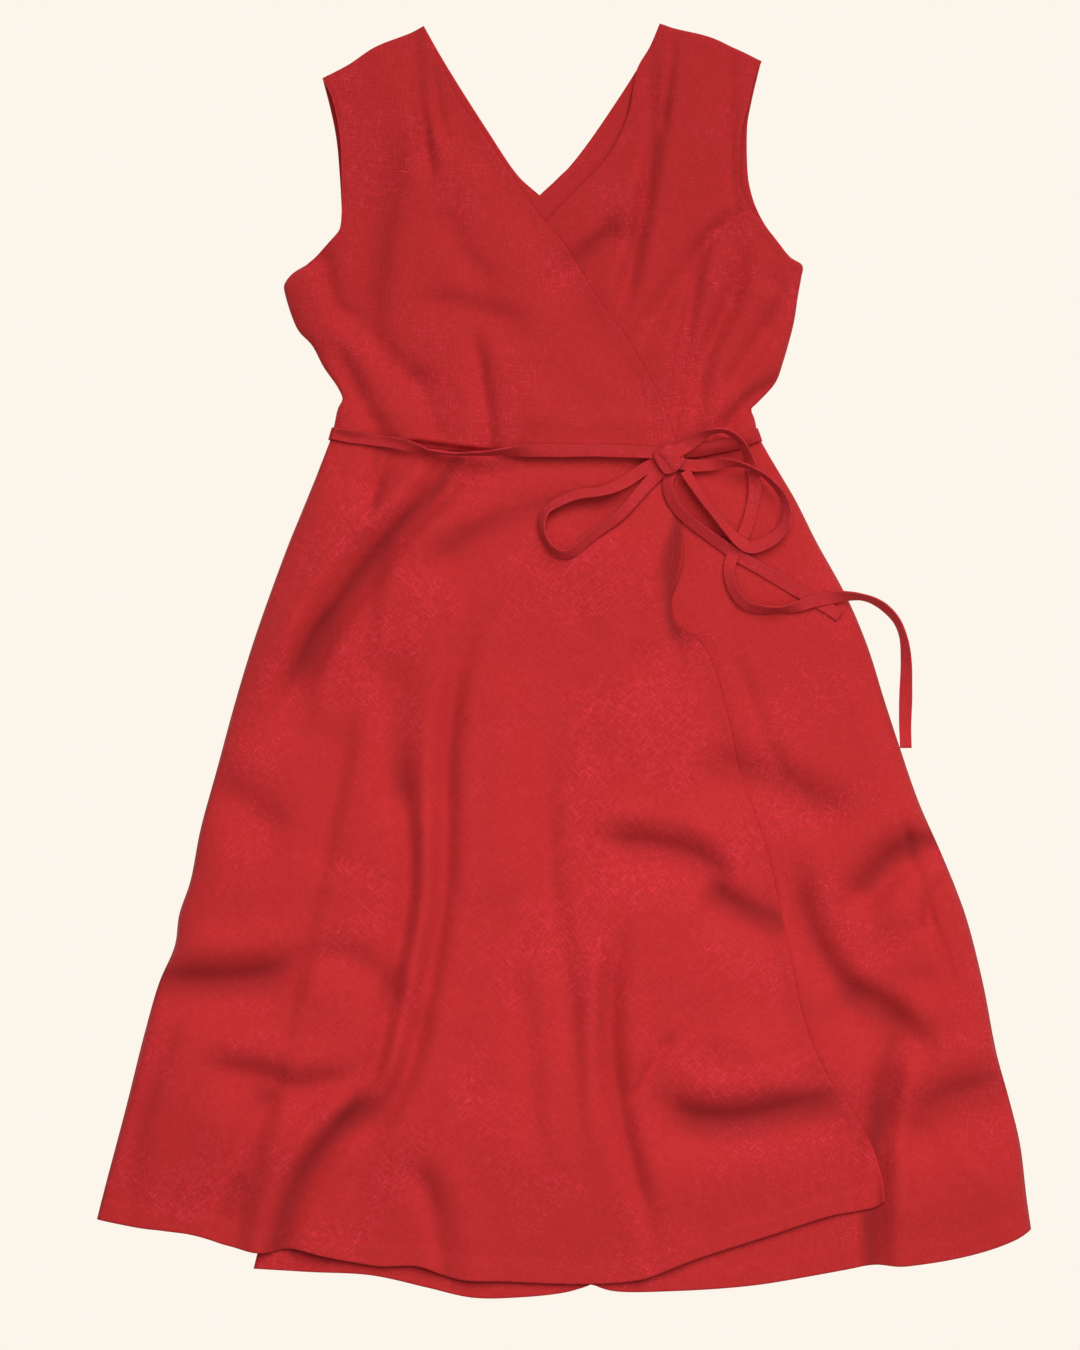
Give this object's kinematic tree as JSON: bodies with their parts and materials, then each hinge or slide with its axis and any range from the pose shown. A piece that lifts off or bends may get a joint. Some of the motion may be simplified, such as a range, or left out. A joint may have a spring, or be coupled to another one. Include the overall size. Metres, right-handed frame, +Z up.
{
  "type": "sleeveless wrap dress",
  "caption": "Sleeveless wrap dress in woven cloth, laid flat on its back, its fronts crossed to a V neck and its waist tie in a bow.",
  "frame": {"origin": "middle of the dress's outline, on the surface that it lies on", "axes": "+Y from the hem to the shoulders, +Z up from the surface, +X to the wearer's left"},
  "size_m": [0.84, 1.1457, 0.0317],
  "materials": {
    "linen_back": "matt red plain-weave linen, seen from inside at the neck",
    "linen_front": "matt red plain-weave linen with slubs",
    "linen_tie": "matt red linen, folded in and stitched along one edge"
  },
  "bodies": {
    "root": {"back_bodice": "linen_back", "back_skirt": "linen_back", "left_front_bodice": "linen_front", "left_front_skirt": "linen_front", "right_front_bodice": "linen_front", "right_front_skirt": "linen_front", "tie_waist_back": "linen_tie", "tie_waist_left": "linen_tie", "tie_waist_right": "linen_tie", "bow_knot": "linen_tie", "bow_left_loop": "linen_tie", "bow_right_loop": "linen_tie", "bow_short_tail": "linen_tie", "bow_long_tail": "linen_tie"}
  },
  "joints": []
}
